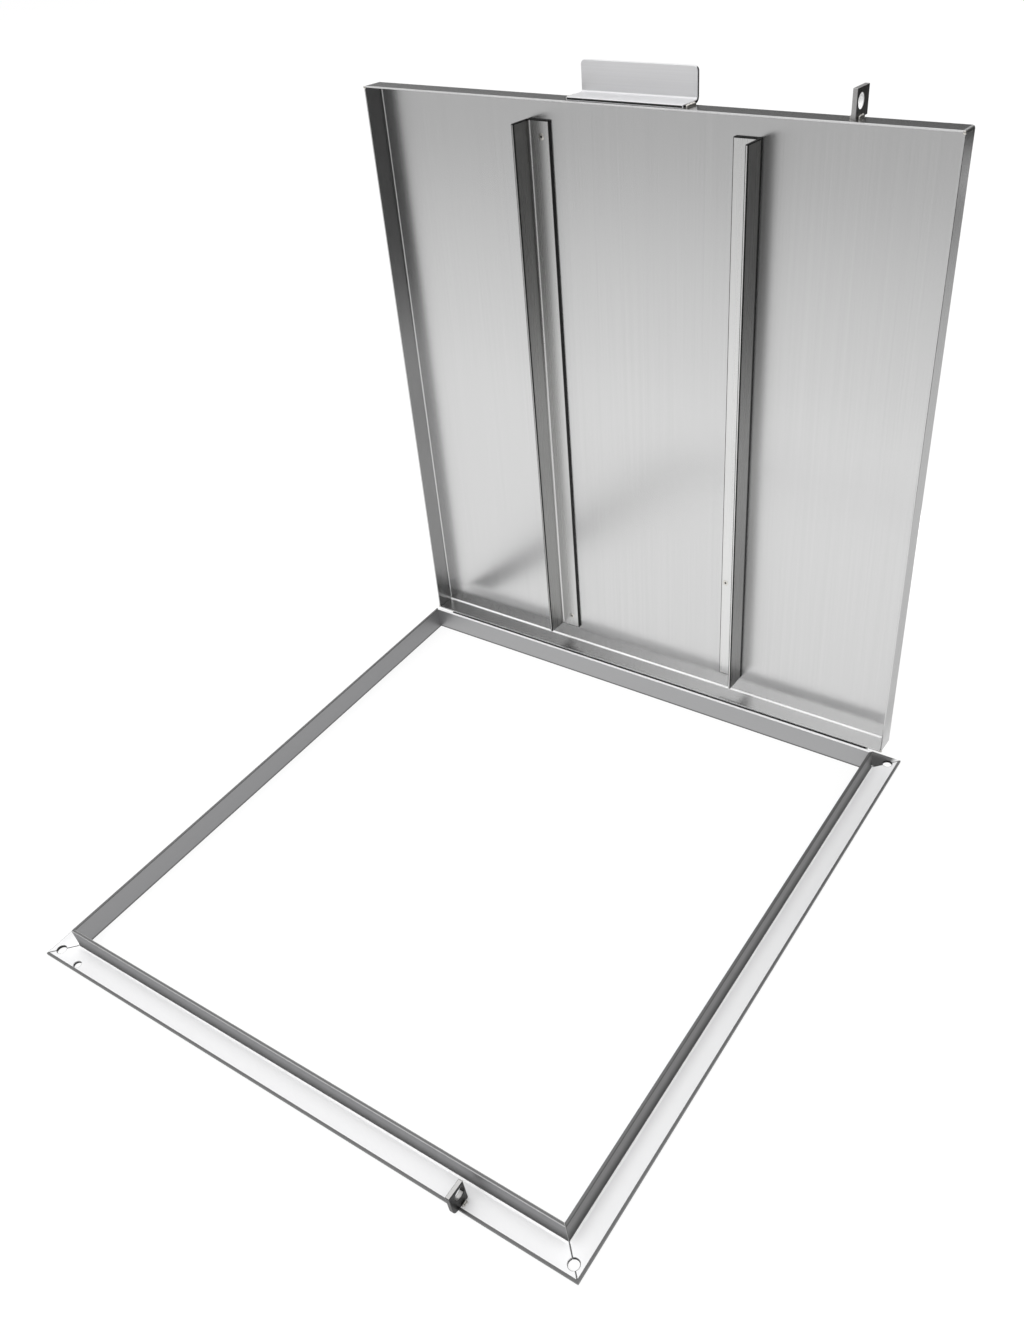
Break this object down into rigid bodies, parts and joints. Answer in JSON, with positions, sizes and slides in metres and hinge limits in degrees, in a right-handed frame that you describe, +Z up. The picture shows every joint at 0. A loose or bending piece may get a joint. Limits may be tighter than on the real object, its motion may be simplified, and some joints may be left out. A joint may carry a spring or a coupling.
{
  "type": "hinged cistern cover",
  "caption": "Hinged stainless steel cistern cover: a mitred angle frame with anchor holes and a folded lid that shuts over its upstand, with lift handle and padlock lugs.",
  "frame": {"origin": "middle of the frame on the ground, at the centre of the anchor holes", "axes": "+X right along the front edge, +Y back towards the hinges, +Z up"},
  "size_m": [0.6, 0.6734, 0.6072],
  "materials": {
    "stainless_sheet": "brushed",
    "stainless_bar": "satin",
    "weld_bead": "as welded"
  },
  "bodies": {
    "frame": {"frame_bar_front": "stainless_bar", "frame_bar_right": "stainless_bar", "frame_bar_rear": "stainless_bar", "frame_bar_left": "stainless_bar", "frame_padlock_lug": "stainless_bar", "frame_lug_weld_left": "weld_bead", "frame_lug_weld_right": "weld_bead", "hinge_left_outer_knuckle": "stainless_bar", "hinge_left_inner_knuckle": "stainless_bar", "hinge_left_pin": "stainless_bar", "hinge_right_outer_knuckle": "stainless_bar", "hinge_right_inner_knuckle": "stainless_bar", "hinge_right_pin": "stainless_bar"},
    "lid": {"lid_pan": "stainless_sheet", "stiffener_left": "stainless_bar", "stiffener_right": "stainless_bar", "lift_handle": "stainless_bar", "lid_padlock_lug": "stainless_bar", "lid_lug_weld_left": "weld_bead", "lid_lug_weld_right": "weld_bead", "handle_weld_left": "weld_bead", "handle_weld_right": "weld_bead", "hinge_left_lid_knuckle": "stainless_bar", "hinge_right_lid_knuckle": "stainless_bar"}
  },
  "joints": [
    {"name": "lid_hinge", "type": "hinge", "parent": "frame", "child": "lid", "pos_m": [0, 0.2917, 0.009], "axis": [1, 0, 0], "range_deg": [0, 95]}
  ]
}
